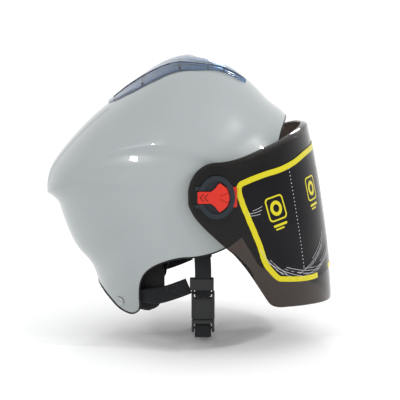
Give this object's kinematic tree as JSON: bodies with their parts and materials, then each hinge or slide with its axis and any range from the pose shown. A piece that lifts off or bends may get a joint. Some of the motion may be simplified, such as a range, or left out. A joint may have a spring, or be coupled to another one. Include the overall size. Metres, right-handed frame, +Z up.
{
  "type": "open-face scooter helmet",
  "caption": "Open-face scooter helmet with a glossy shell, top vent cover, smoked flip-up visor with red side locks, padded liner and buckled webbing chin strap.",
  "frame": {"origin": "middle of the head cavity, on the middle plane, 18.7 mm below the visor's hinge axis", "axes": "+X to the wearer's front, +Y to the wearer's left, +Z up"},
  "size_m": [0.2973, 0.2384, 0.2912],
  "materials": {
    "shell": "glossy light grey-white moulded ABS",
    "vent": "glossy translucent smoky-blue polycarbonate",
    "dark": "black plastic, satin",
    "slate": "slate-black plastic, satin",
    "red": "red plastic, satin",
    "smoke": "glossy smoke-brown polycarbonate",
    "film": "thin glossy printed film, black with a yellow border",
    "foam": "black moulded bead foam",
    "pad": "black brushed knit over foam",
    "web": "black woven webbing",
    "buckle": "dark grey moulded plastic",
    "steel": "bright plated steel"
  },
  "bodies": {
    "helmet": {"base_plate_left": "dark", "base_plate_right": "dark", "brow_pad": "pad", "buckle_plug": "buckle", "buckle_socket": "buckle", "chin_strap": "web", "crown_pad": "pad", "edge_trim": "dark", "eps_liner": "foam", "lock_housing_left": "slate", "lock_housing_right": "slate", "nape_pad": "pad", "outer_shell": "shell", "plate_screw_left_1": "steel", "plate_screw_left_2": "steel", "plate_screw_right_1": "steel", "plate_screw_right_2": "steel", "rear_vent": "dark", "side_pad_left": "pad", "side_pad_right": "pad", "strap_front_right": "web", "strap_rear_left": "web", "strap_rear_right": "web", "strap_rivet_left": "steel", "strap_rivet_right": "steel", "strap_slider_left": "buckle", "strap_slider_right": "buckle", "top_vent_cover": "vent", "neck_pad_left": "pad", "neck_pad_right": "pad"},
    "visor_assembly": {"visor": "smoke", "visor_film": "film"},
    "key_left": {"lock_key_left": "red"},
    "key_right": {"lock_key_right": "red"},
    "prong_front": {"buckle_prong_front": "buckle"},
    "prong_rear": {"buckle_prong_rear": "buckle"}
  },
  "joints": [
    {"name": "visor_hinge", "type": "hinge", "parent": "helmet", "child": "visor_assembly", "pos_m": [0.0156, 0, 0.0187], "axis": [0, -1, 0], "range_deg": [0, 30]},
    {"name": "key_slide_left", "type": "slide", "parent": "helmet", "child": "key_left", "axis": [-1, 0, 0], "range_m": [0, 0.004], "stiffness_N_per_m": 500},
    {"name": "key_slide_right", "type": "slide", "parent": "helmet", "child": "key_right", "axis": [-1, 0, 0], "range_m": [0, 0.004], "stiffness_N_per_m": 500},
    {"name": "prong_squeeze_front", "type": "slide", "parent": "helmet", "child": "prong_front", "axis": [-1, 0, 0], "range_m": [0, 0.002], "stiffness_N_per_m": 2000},
    {"name": "prong_squeeze_rear", "type": "slide", "parent": "helmet", "child": "prong_rear", "axis": [1, 0, 0], "range_m": [0, 0.002], "stiffness_N_per_m": 2000}
  ]
}
